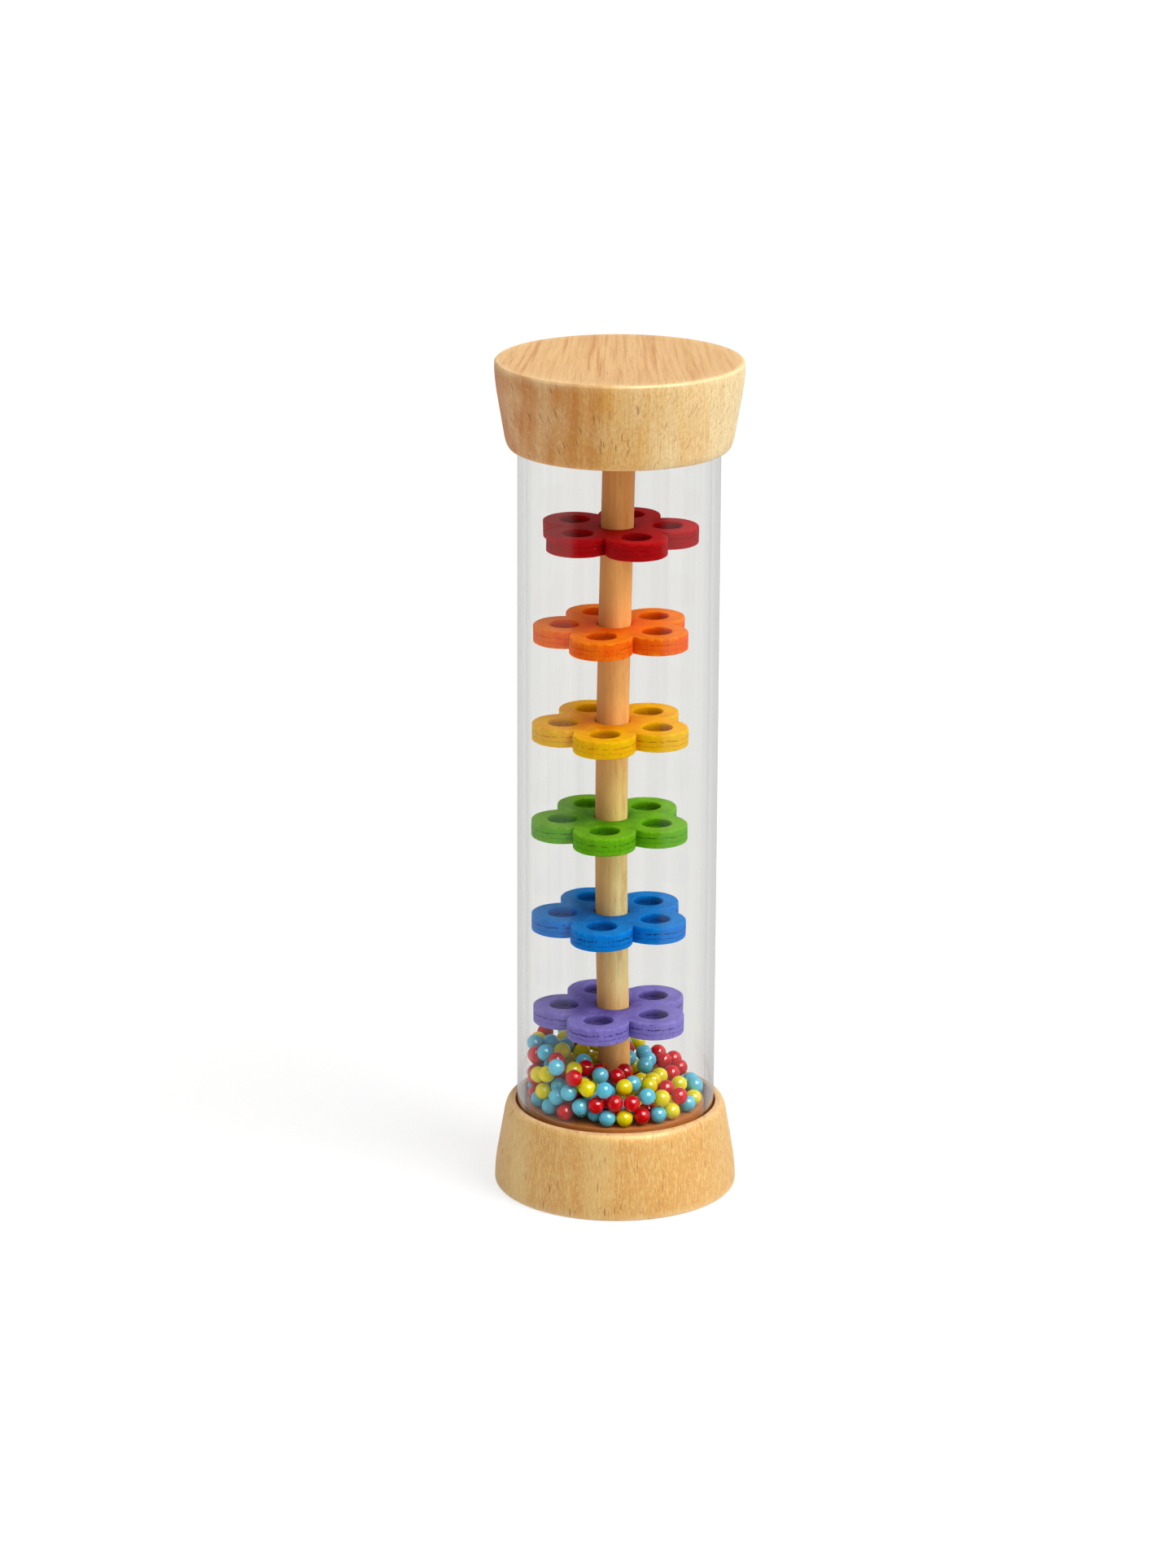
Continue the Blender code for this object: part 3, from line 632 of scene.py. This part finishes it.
def disc_mesh(name, degrees, seed):
    """Plywood flower with eased arrises, a slightly uneven sawn edge and drilled holes."""
    turn, half_t = math.radians(degrees), DISC_T / 2
    rng = np.random.default_rng(seed)
    phases = rng.uniform(0, 2 * math.pi, 8)

    def sawn(x, y, z):
        a = math.atan2(y, x)
        off = 0.035 * math.sin(11 * a + phases[0] + z * 0.6) + 0.025 * math.sin(27 * a + phases[1] - z * 0.4)
        off -= 0.06
        r = math.hypot(x, y)
        return x * (r + off) / r, y * (r + off) / r

    ease, hole_ease = 0.38, 0.28
    # (inset, height, rim mark) from the top face over the edge and down to the bottom face
    steps = [(1.1, half_t, 0.0), (0.62, half_t, 0.35)]
    # the eased arris carries rim mark 1, for rubbed paint with a painted highlight
    steps += [(ease * (1 - math.sin(t)), half_t - ease * (1 - math.cos(t)), 1.0) for t in np.linspace(0, math.pi / 2, 6)]
    steps += [(0.0, half_t - 0.75, 0.25), (0.0, half_t - 1.3, 0.0), (0.0, 0.0, 0.0)]
    steps += [(a, -z, m) for a, z, m in reversed(steps[:-1])]
    verts, faces, rim, tops, bottoms = [], [], [], [], []

    def wall(outlines, marks, z_values):
        rings = []
        for outline, mark, z in zip(outlines, marks, z_values):
            rings.append(list(range(len(verts), len(verts) + len(outline))))
            for x, y in outline:
                verts.append((x, y, z))
                rim.append(mark)
        n = len(outlines[0])
        for a, b in zip(rings, rings[1:]):
            for s in range(n):
                faces.append((a[s], b[s], b[(s + 1) % n], a[(s + 1) % n]))
        tops.append(rings[0])
        bottoms.append(rings[-1])

    outer = [[sawn(x, y, z) for x, y in petal_outline(turn, inset)] for inset, z, _ in steps]
    wall(outer, [m for _, _, m in steps], [z for _, z, _ in steps])
    for cx, cy, radius in [(0.0, 0.0, BORE_R - 0.05)] + [
        (PETAL_AT * math.cos(turn + 2 * math.pi * p / PETALS), PETAL_AT * math.sin(turn + 2 * math.pi * p / PETALS), PETAL_HOLE_R)
        for p in range(PETALS)
    ]:
        hole = [(0.5, half_t, 0.0)]
        hole += [
            (hole_ease * (1 - math.sin(t)), half_t - hole_ease * (1 - math.cos(t)), 0.6) for t in np.linspace(0, math.pi / 2, 5)
        ]
        # negative rim marks on the hole walls carry the painted shade down the holes
        hole += [(0.0, half_t - 0.55, -0.25), (0.0, half_t - 1.1, -0.8), (0.0, 0.0, -1.0)]
        hole += [(a, -z, m) for a, z, m in reversed(hole[:-1])]
        wall([circle(cx, cy, radius + a, 40) for a, _, _ in hole], [m for _, _, m in hole], [z for _, z, _ in hole])

    mesh = bpy.data.meshes.new(name)
    mesh.from_pydata([(x * MM, y * MM, z * MM) for x, y, z in verts], [], faces)
    bm = bmesh.new()
    bm.from_mesh(mesh)
    bm.verts.ensure_lookup_table()
    for loops in (tops, bottoms):
        edges = []
        for ring in loops:
            for i, a in enumerate(ring):
                edges.append(bm.edges.get((bm.verts[a], bm.verts[ring[(i + 1) % len(ring)]])))
        bmesh.ops.triangle_fill(bm, use_beauty=True, use_dissolve=False, edges=edges)
    bmesh.ops.recalc_face_normals(bm, faces=bm.faces)
    bm.to_mesh(mesh)
    bm.free()
    layer = mesh.attributes.new("rim", "FLOAT", "POINT")
    layer.data.foreach_set("value", np.asarray(rim, dtype=np.float32))
    mesh.shade_smooth()
    mesh.set_sharp_from_angle(angle=math.radians(50))
    mesh.update()
    return mesh


# =====================================================================
# beads
# =====================================================================
def bead_form(rng, segments=28, rings=18):
    """verts (mm, about the bead's centre) and faces of one moulded bead: not quite round, with a small gate mark."""
    squash = rng.uniform(-0.006, 0.0)
    phase = rng.uniform(0, 2 * math.pi, 3)
    spin = Euler(rng.uniform(0, 2 * math.pi, 3)).to_matrix()
    verts, faces = [], []

    def put(theta, phi):
        n = Vector((math.sin(theta) * math.cos(phi), math.sin(theta) * math.sin(phi), math.cos(theta)))
        r = BEAD_R * (0.994 + 0.003 * math.sin(2 * phi + phase[0]) * math.sin(theta) + 0.002 * math.sin(3 * theta + phase[1]))
        r += squash * math.cos(theta) ** 2 * BEAD_R
        if theta < 0.24:
            r -= 0.05 * (1 - theta / 0.24)
        seam = abs(theta - math.pi / 2)
        if seam < 0.09:
            r += 0.008 * (1 - seam / 0.09)
        verts.append(tuple(spin @ (n * r)))

    put(0.0, 0.0)
    for i in range(1, rings):
        for j in range(segments):
            put(math.pi * i / rings, 2 * math.pi * j / segments)
    put(math.pi, 0.0)
    for j in range(segments):
        faces.append((0, 1 + j, 1 + (j + 1) % segments))
    for i in range(rings - 2):
        for j in range(segments):
            a, b = 1 + i * segments + j, 1 + i * segments + (j + 1) % segments
            faces.append((a, a + segments, b + segments, b))
    last = len(verts) - 1
    for j in range(segments):
        faces.append((last, last - segments + (j + 1) % segments, last - segments + j))
    return verts, faces


RED, YELLOW, BLUE = "red", "yellow", "blue"
LOOSE = (
    (YELLOW, 8.8, -5.9), (BLUE, -3.6, -11.4), (YELLOW, -12.7, -1.0), (YELLOW, -5.5, 10.5), (BLUE, 7.8, 7.7),
    (BLUE, 18.9, -1.5), (YELLOW, 5.2, 18.4), (RED, -16.9, 9.0), (BLUE, -13.9, -13.2), (BLUE, 7.5, -17.6),
    (RED, -13.9, -8.6), (RED, -7.1, -8.9), (RED, 0.3, -9.5), (RED, 12.0, -8.8), (RED, 15.1, -11.8),
    (RED, 10.2, 14.5), (RED, 11.5, 10.0), (RED, 15.3, 8.0), (RED, 13.4, 2.5), (RED, 2.6, 11.9),
    (YELLOW, -9.8, -12.2), (YELLOW, 2.1, -15.4), (YELLOW, 8.0, -10.1), (YELLOW, 10.5, -1.5), (YELLOW, 15.1, -3.7),
    (BLUE, 4.1, -11.6), (BLUE, 7.0, 2.9), (BLUE, 6.8, 11.8),
)
# beads of the charge that show against the glass or between the loose ones
SEEN = (
    (YELLOW, -6.5, -18.1, 29.2), (BLUE, -2.3, -19.1, 28.9), (RED, 1.1, -19.2, 26.3), (RED, 5.0, -18.6, 26.4),
    (YELLOW, 10.4, -16.2, 25.7), (BLUE, -11.0, -15.8, 27.4), (RED, -9.8, -16.6, 31.3), (YELLOW, -16.3, -10.2, 31.5),
    (YELLOW, -18.4, -5.7, 28.1), (BLUE, -13.8, -13.4, 25.1), (YELLOW, -17.1, -8.8, 25.1), (RED, -12.0, -15.1, 22.3),
    (BLUE, -8.3, -17.4, 24.4), (RED, -4.3, -18.8, 25.1), (YELLOW, 2.2, -19.1, 22.5), (BLUE, -1.9, -19.2, 22.4),
    (RED, 6.2, -18.2, 22.8), (BLUE, 10.2, -16.3, 22.4), (YELLOW, 13.8, -13.4, 22.3), (YELLOW, 18.9, -3.8, 23.1),
    (BLUE, 18.5, -5.5, 22.5), (YELLOW, -12.2, 8.5, 32.2), (YELLOW, -8.1, 2.5, 31.2), (BLUE, -18.9, 0.9, 33.7),
    (BLUE, -15.2, 2.4, 33.2), (BLUE, -12.3, 3.3, 32.2), (BLUE, -16.0, -6.3, 33.4), (BLUE, -7.6, -4.4, 31.0),
    (BLUE, 3.0, 16.2, 28.3), (BLUE, -18.1, -6.4, 22.3), (BLUE, -15.4, -11.5, 22.3), (RED, -18.9, -2.3, 22.4),
    (RED, -18.9, -2.9, 26.4), (RED, -18.9, -3.3, 32.5),
)
REACH = 2 * BEAD_R + 0.03
OUT_R = 19.2
LOW_Z = 22.3


def charge():
    """Places of the beads under and between the loose ones, as (colour, x, y, z): the seen ones first, then
    the lowest free spot of many tries until the heap is full."""
    rng = np.random.default_rng(2217)
    loose = np.array([(x, y, heap_z(x)) for _, x, y in LOOSE])
    own = np.array([s[1:] for s in SEEN])
    colours = [s[0] for s in SEEN]
    rod = np.array((bow_at(28.0), 0.0))
    for _ in range(400):
        gap = own[:, None, :] - own[None, :, :]
        dist = np.linalg.norm(gap, axis=2) + np.eye(len(own)) * 99
        push = np.where((dist < REACH)[..., None], gap / dist[..., None] * ((REACH - dist) / 2)[..., None], 0).sum(1)
        tall = own[:, None, :] - loose[None, :, :]
        tall[..., 2] = np.minimum(tall[..., 2], 0.0)  # a loose bead keeps everything above it clear
        dist = np.linalg.norm(tall, axis=2) + 1e-9
        push += np.where((dist < REACH)[..., None], tall / dist[..., None] * (REACH - dist)[..., None], 0).sum(1)
        own = own + 0.6 * push
        flat = np.linalg.norm(own[:, :2], axis=1)
        own[:, :2] *= np.minimum(1.0, OUT_R / flat)[:, None]
        own[:, 2] = np.clip(own[:, 2], LOW_Z, 33.8)
        off = own[:, :2] - rod
        near = np.linalg.norm(off, axis=1)
        own[:, :2] = rod + off * np.maximum(1.0, 5.9 / near)[:, None]

    def clear(p, others):
        if len(others) and np.linalg.norm(others - p, axis=1).min() < REACH - 0.06:
            return False
        tall = p - loose
        tall[:, 2] = np.minimum(tall[:, 2], 0.0)
        return np.linalg.norm(tall, axis=1).min() >= REACH - 0.06

    kept, kept_colours = [], []
    for p, colour in zip(own, colours):
        if clear(p, np.array(kept).reshape(-1, 3)):
            kept.append(p)
            kept_colours.append(colour)

    tries = 9000
    a, r = rng.uniform(0, 2 * math.pi, tries), OUT_R * np.sqrt(rng.uniform(0, 1, tries))
    r[: tries // 4] = OUT_R  # many spots right against the glass
    spots = np.stack([r * np.cos(a), r * np.sin(a)], 1)
    spots = spots[np.linalg.norm(spots - rod, axis=1) > 5.9]
    top = np.minimum(heap_z(spots[:, 0]) + rng.uniform(-0.9, 0.9, len(spots)), 33.8)
    placed = list(kept)
    full = 1e9

    def lowest(which):
        pts = np.array(placed)
        d = np.linalg.norm(spots[which][:, None, :] - pts[None, :, :2], axis=2)
        rise = np.sqrt(np.maximum(REACH**2 - d**2, 0.0))
        lo, hi = pts[None, :, 2] - rise, pts[None, :, 2] + rise
        d2 = np.linalg.norm(spots[which][:, None, :] - loose[None, :, :2], axis=2)
        rise2 = np.sqrt(np.maximum(REACH**2 - d2**2, 0.0))
        lo2 = np.where(rise2 > 0, loose[None, :, 2] - rise2, full)
        z = np.full(len(which), LOW_Z)
        for _ in range(14):
            inside = (rise > 0) & (z[:, None] > lo + 1e-6) & (z[:, None] < hi - 1e-6)
            z = np.maximum(z, np.where(inside, hi, 0.0).max(1))
        inside = ((rise > 0) & (z[:, None] > lo + 1e-6) & (z[:, None] < hi - 1e-6)).any(1)
        under = (z[:, None] > lo2 + 1e-6).any(1)
        return np.where(inside | under | (z > top[which]), full, z)

    heights = lowest(np.arange(len(spots)))
    while True:
        pts = np.array(placed)
        open_spots = np.nonzero(heights < full)[0]
        if not len(open_spots):
            break
        low = heights[open_spots].min()
        near = open_spots[heights[open_spots] < low + 0.25]
        q = np.column_stack([spots[near], heights[near]])
        gap = np.sort(np.linalg.norm(q[:, None, :] - pts[None], axis=2), axis=1)[:, :3].sum(1)
        best = near[int(np.argmin(gap + 4 * (heights[near] - low)))]
        placed.append(np.array((*spots[best], heights[best])))
        around = np.nonzero(np.linalg.norm(spots - spots[best], axis=1) < REACH)[0]
        heights[around] = lowest(around)
    names = (RED, YELLOW, BLUE)
    order = rng.permutation(len(placed))
    made = []
    for i, p in enumerate(placed):
        colour = kept_colours[i] if i < len(kept) else names[int(order[i]) % 3]
        made.append((colour, *map(float, p)))
    return made


def bead_mesh(name, places, rng):
    verts, faces, tone = [], [], []
    for x, y, z in places:
        form, ends = bead_form(rng)
        first, value = len(verts), float(rng.uniform())
        verts += [(x + a, y + b, z + c) for a, b, c in form]
        faces += [tuple(first + i for i in face) for face in ends]
        tone += [value] * len(form)
    return finish_mesh(name, verts, faces, {"tone": tone}, None)


# =====================================================================
# build
# =====================================================================
def build():
    def linear(r, g, b):
        return tuple((c / 255 / 12.92) if c / 255 <= 0.04045 else ((c / 255 + 0.055) / 1.055) ** 2.4 for c in (r, g, b))

    base_look = beech(
        "beech_base", 5.0, 10.0, (41.0, 7.0, 3.0),
        linear(197, 154, 92), linear(200, 144, 70), linear(216, 189, 127),
        linear(214, 172, 118), linear(186, 130, 74), 0.004, 0.55, 0.95, 0.7, 1.35,
    )
    head_look = beech(
        "beech_head", 32.0, 190.0, (5.0, 63.0, 17.0),
        linear(223, 203, 154), linear(212, 160, 78), linear(178, 109, 35),
        linear(212, 171, 113), linear(186, 128, 65), 0.009, 0.98, 0.9, 0.45, 0.7,
    )
    cap_low = add("cap_base_beech", cap_mesh("cap_base_beech", False), base_look)
    cap_top = add("cap_head_beech", cap_mesh("cap_head_beech", True), head_look)
    for piece, node in ((cap_low, "bottom_cap"), (cap_top, "top_cap")):
        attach(piece, "toy")
        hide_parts(node)

    rod = add("rod_beech", dowel_mesh("rod_beech"), dowel_wood("beech_rod_look"))
    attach(rod, "toy")
    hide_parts("centre_rod")

    tube = add("tube_wall", tube_mesh("tube_wall"), clear_wall("clear_wall_look"))
    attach(tube, "toy")
    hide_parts("clear_tube")

    discs = (
        ("red", 4.0, (178, 0, 8), (142, 0, 2), (204, 12, 24), (50, 0, 2), (143, 0, 2), 0.5, 0.05, 0.06),
        ("orange", 38.7, (240, 112, 0), (216, 76, 0), (250, 156, 20), (104, 26, 0), (227, 72, 0), 0.45, 0.08, 0.0),
        ("yellow", 44.9, (236, 172, 0), (214, 120, 0), (240, 208, 4), (104, 60, 2), (220, 170, 0), 0.65, 0.10, 0.0),
        ("green", 46.0, (98, 170, 4), (62, 124, 0), (130, 192, 34), (24, 60, 2), (81, 156, 0), 0.9, 0.08, 0.0),
        ("blue", 42.5, (0, 116, 206), (0, 80, 160), (8, 142, 226), (2, 28, 68), (0, 107, 199), 1.0, 0.12, 0.0),
        ("purple", 36.3, (122, 110, 188), (84, 68, 144), (150, 138, 208), (38, 22, 66), (118, 108, 190), 1.0, 0.18, 0.0),
    )
    for i, (word, degrees, body, deep, light, line, sawn, ply, scratches, specks) in enumerate(discs):
        mid_z = DISC_TOP_Z - DISC_PITCH * i - DISC_T / 2
        look = paint(
            f"paint_{word}_look", linear(*body), linear(*deep), linear(*light), linear(*line), linear(*sawn),
            23.0 * i, ply, scratches, specks,
        )
        name = f"flower_{word}"
        disc = add(name, disc_mesh(name, degrees, 11 + i), look, (bow_at(mid_z), 0, mid_z))
        even = disc.modifiers.new("even_normals", "WEIGHTED_NORMAL")
        even.keep_sharp = True
        even.weight = 50
        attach(disc, "toy")
        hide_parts(f"disc_{word}")

    looks = {
        RED: bead_gloss("bead_red_look", linear(206, 4, 16), linear(168, 0, 6), linear(222, 20, 30)),
        YELLOW: bead_gloss("bead_yellow_look", linear(230, 216, 2), linear(216, 188, 0), linear(240, 232, 30)),
        BLUE: bead_gloss("bead_blue_look", linear(92, 192, 220), linear(54, 158, 198), linear(132, 214, 232)),
    }
    rng = np.random.default_rng(905)
    for i, (colour, x, y) in enumerate(LOOSE):
        body = f"bead_{i + 1:02d}"
        bead = add(f"loose_{i + 1:02d}_{colour}", bead_mesh(f"loose_{i + 1:02d}", [(0, 0, 0)], rng), looks[colour], (x, y, heap_z(x)))
        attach(bead, body)
        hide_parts(body)
    rest = charge()
    for colour in (RED, YELLOW, BLUE):
        places = [(x, y, z) for c, x, y, z in rest if c == colour]
        heap = add(f"heap_{colour}", bead_mesh(f"heap_{colour}", places, rng), looks[colour])
        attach(heap, "toy")
        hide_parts("bead_bed")
    print("beads in the heap:", len(rest), "loose:", len(LOOSE))


# =====================================================================
# floor, light, camera
# =====================================================================
def studio():
    scene = bpy.context.scene
    scene.view_settings.view_transform = "Standard"

    bm = bmesh.new()
    bmesh.ops.create_grid(bm, x_segments=4, y_segments=4, size=6.0)
    mesh = bpy.data.meshes.new("studio_floor")
    bm.to_mesh(mesh)
    bm.free()
    floor = bpy.data.objects.new("studio_floor", mesh)
    mesh.materials.append(floor_look("studio_floor_look"))
    scene.collection.objects.link(floor)
    floor.visible_glossy = False

    world = bpy.data.worlds.new("soft_studio")
    scene.world = world
    world.use_nodes = True
    tree = world.node_tree
    tree.nodes.clear()
    out = tree.nodes.new("ShaderNodeOutputWorld")
    back = tree.nodes.new("ShaderNodeBackground")
    coord = tree.nodes.new("ShaderNodeTexCoord")
    parts = tree.nodes.new("ShaderNodeSeparateXYZ")
    tree.links.new(coord.outputs["Generated"], parts.inputs[0])

    def maths(operation, a, b):
        n = tree.nodes.new("ShaderNodeMath")
        n.operation = operation
        for socket, value in zip(n.inputs, (a, b)):
            if isinstance(value, bpy.types.NodeSocket):
                tree.links.new(value, socket)
            else:
                socket.default_value = value
        return n.outputs[0]

    def span(value, low, high, a, b, kind="SMOOTHSTEP"):
        n = tree.nodes.new("ShaderNodeMapRange")
        n.interpolation_type = kind
        tree.links.new(value, n.inputs["Value"])
        for key, number in (("From Min", low), ("From Max", high), ("To Min", a), ("To Max", b)):
            n.inputs[key].default_value = number
        return n.outputs[0]

    def choose(flag, no, yes):
        n = tree.nodes.new("ShaderNodeMix")
        n.data_type = "FLOAT"
        tree.links.new(flag, n.inputs[0])
        for socket, value in ((n.inputs[2], no), (n.inputs[3], yes)):
            if isinstance(value, bpy.types.NodeSocket):
                tree.links.new(value, socket)
            else:
                socket.default_value = value
        return n.outputs[0]

    east, north, height = parts.outputs["X"], parts.outputs["Y"], parts.outputs["Z"]
    # soft light: dimmer in front and to the left, open to the right and behind
    soft = maths("MULTIPLY", span(north, -0.75, -0.1, 0.53, 0.95), span(east, -0.9, 0.9, 0.76, 1.12, "LINEAR"))
    # what polished surfaces mirror: black behind the lens, white cards from either side round to the back,
    # and a bright soft box up on the right
    low = maths("MULTIPLY", span(north, -0.68, -0.50, 0.012, 1.15), span(north, -0.3, 0.6, 1.0, 0.55))
    high = maths("ADD", span(north, -0.8, 0.1, 0.15, 0.5), maths("MULTIPLY", span(east, 0.1, 0.8, 0.0, 1.3), 1.0))
    cards = choose(span(height, 0.0, 0.3, 0.0, 1.0), low, high)
    # small bright window of that box, for crisp glints
    toward = maths("ADD", maths("MULTIPLY", east, 0.36), maths("ADD", maths("MULTIPLY", north, -0.55), maths("MULTIPLY", height, 0.755)))
    cards = maths("ADD", cards, span(toward, 0.90, 0.935, 0.0, 22.0))
    path = tree.nodes.new("ShaderNodeLightPath")
    strength = choose(path.outputs["Is Glossy Ray"], soft, cards)
    strength = choose(path.outputs["Is Camera Ray"], strength, 1.0)
    tree.links.new(strength, back.inputs["Strength"])
    back.inputs["Color"].default_value = (1.0, 0.997, 0.99, 1.0)
    tree.links.new(back.outputs[0], out.inputs["Surface"])

    def sun(name, direction, energy, angle, colour):
        light = bpy.data.lights.new(name, "SUN")
        light.energy = energy
        light.angle = angle
        light.color = colour
        obj = bpy.data.objects.new(name, light)
        obj.rotation_euler = Vector(direction).to_track_quat("Z", "Y").to_euler()
        obj.location = Vector(direction) * 0.8
        scene.collection.objects.link(obj)

    sun("key_softbox", (0.56, -0.37, 0.74), 2.35, 0.60, (1.0, 0.985, 0.955))

    cam = bpy.data.cameras.new("view")
    cam.lens = 113.34
    cam.sensor_width = 36.0
    cam.sensor_fit = "AUTO"
    cam.clip_start = 0.01
    cam.clip_end = 30.0
    obj = bpy.data.objects.new("view", cam)
    yaw, pitch, roll = -0.0062, 0.29493079, 0.00432669
    ahead = Vector((math.sin(yaw) * math.cos(pitch), math.cos(yaw) * math.cos(pitch), -math.sin(pitch)))
    right = Vector((math.cos(yaw), -math.sin(yaw), 0.0))
    down = ahead.cross(right)
    x_axis = math.cos(roll) * right - math.sin(roll) * down
    y_down = math.sin(roll) * right + math.cos(roll) * down
    turn = Matrix((x_axis, -y_down, -ahead)).transposed().to_4x4()
    obj.matrix_world = Matrix.Translation(Vector((0.0, -1.106478, 0.434714))) @ turn
    scene.collection.objects.link(obj)
    scene.camera = obj


build()
studio()
